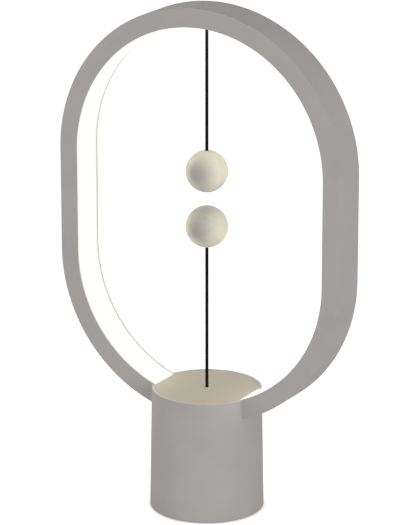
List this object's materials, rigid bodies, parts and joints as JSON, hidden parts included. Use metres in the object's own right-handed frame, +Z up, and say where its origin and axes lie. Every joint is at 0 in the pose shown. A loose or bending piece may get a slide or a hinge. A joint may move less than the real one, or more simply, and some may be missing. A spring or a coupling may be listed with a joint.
{
  "type": "magnetic balance lamp",
  "caption": "Lit oval ring on a round base, with a hanging ball above and a tethered ball below whose magnets pull the switch on.",
  "frame": {"origin": "centre of the base's footprint, on the surface it stands on", "axes": "+Z up along the strings, +X to the right across the ring's width, front towards -Y"},
  "size_m": [0.244, 0.0894, 0.4],
  "materials": {
    "frame_grey": "fine matt moulding",
    "opal_diffuser": "opal, lit from behind",
    "strip_white": "solder mask",
    "led": "phosphor gel",
    "cord_black": "tight braid",
    "ball_beige": "pale, matt lacquer",
    "magnet_nickel": "nickel plated",
    "screw_steel": "zinc plated",
    "weight_steel": "turned and oiled",
    "dark_plastic": "moulded",
    "foot_rubber": "matt",
    "board_green": "solder mask",
    "capacitor_sleeve": "shrunk sleeve",
    "contact_brass": "stamped",
    "ivory_plastic": "moulded"
  },
  "bodies": {
    "root": {"frame_front": "frame_grey", "frame_back": "frame_grey", "base_shell": "frame_grey", "base_top": "frame_grey", "string_eyelet": "frame_grey", "diffuser": "opal_diffuser", "led_strip": "strip_white", "leds": "led", "string_tail": "cord_black", "string_washer": "screw_steel", "frame_screws": "screw_steel", "saddle_screws": "screw_steel", "top_screws": "screw_steel", "cover_screws": "screw_steel", "weight_screw": "screw_steel", "board_screws": "screw_steel", "switch_spring": "screw_steel", "counterweight": "weight_steel", "frame_saddle": "dark_plastic", "bottom_cover": "dark_plastic", "switch_housing": "dark_plastic", "board_parts": "dark_plastic", "power_inlet": "dark_plastic", "foot_ring": "foot_rubber", "circuit_board": "board_green", "capacitor": "capacitor_sleeve", "switch_contacts": "contact_brass", "strip_lead": "ivory_plastic"},
    "pull": {"switch_plunger": "ivory_plastic", "pull_string": "cord_black"},
    "lower_bend": {"lower_string_bend": "cord_black"},
    "lower_pendulum": {"lower_string": "cord_black", "lower_ball": "ball_beige", "lower_magnet": "magnet_nickel", "lower_plug": "ball_beige"},
    "upper_bend": {"upper_string_bend": "cord_black"},
    "upper_pendulum": {"upper_string": "cord_black", "upper_ball": "ball_beige", "upper_magnet": "magnet_nickel", "upper_plug": "ball_beige"}
  },
  "joints": [
    {"name": "switch_slide", "type": "slide", "parent": "root", "child": "pull", "axis": [0, 0, 1], "range_m": [-0.002, 0], "stiffness_N_per_m": 100, "springref_m": 0.005, "deforming": ["switch_spring"]},
    {"name": "lower_string_forward", "type": "hinge", "parent": "pull", "child": "lower_bend", "pos_m": [0, 0, 0.1004], "axis": [1, 0, 0], "range_deg": [-75, 75], "stiffness_Nm_per_rad": 0.04},
    {"name": "lower_string_sideways", "type": "hinge", "parent": "lower_bend", "child": "lower_pendulum", "pos_m": [0, 0, 0.1044], "axis": [0, 1, 0], "range_deg": [-40, 40], "stiffness_Nm_per_rad": 0.04},
    {"name": "upper_string_forward", "type": "hinge", "parent": "root", "child": "upper_bend", "pos_m": [0, 0, 0.3835], "axis": [1, 0, 0], "range_deg": [-75, 75]},
    {"name": "upper_string_sideways", "type": "hinge", "parent": "upper_bend", "child": "upper_pendulum", "pos_m": [0, 0, 0.3795], "axis": [0, 1, 0], "range_deg": [-40, 40]}
  ]
}
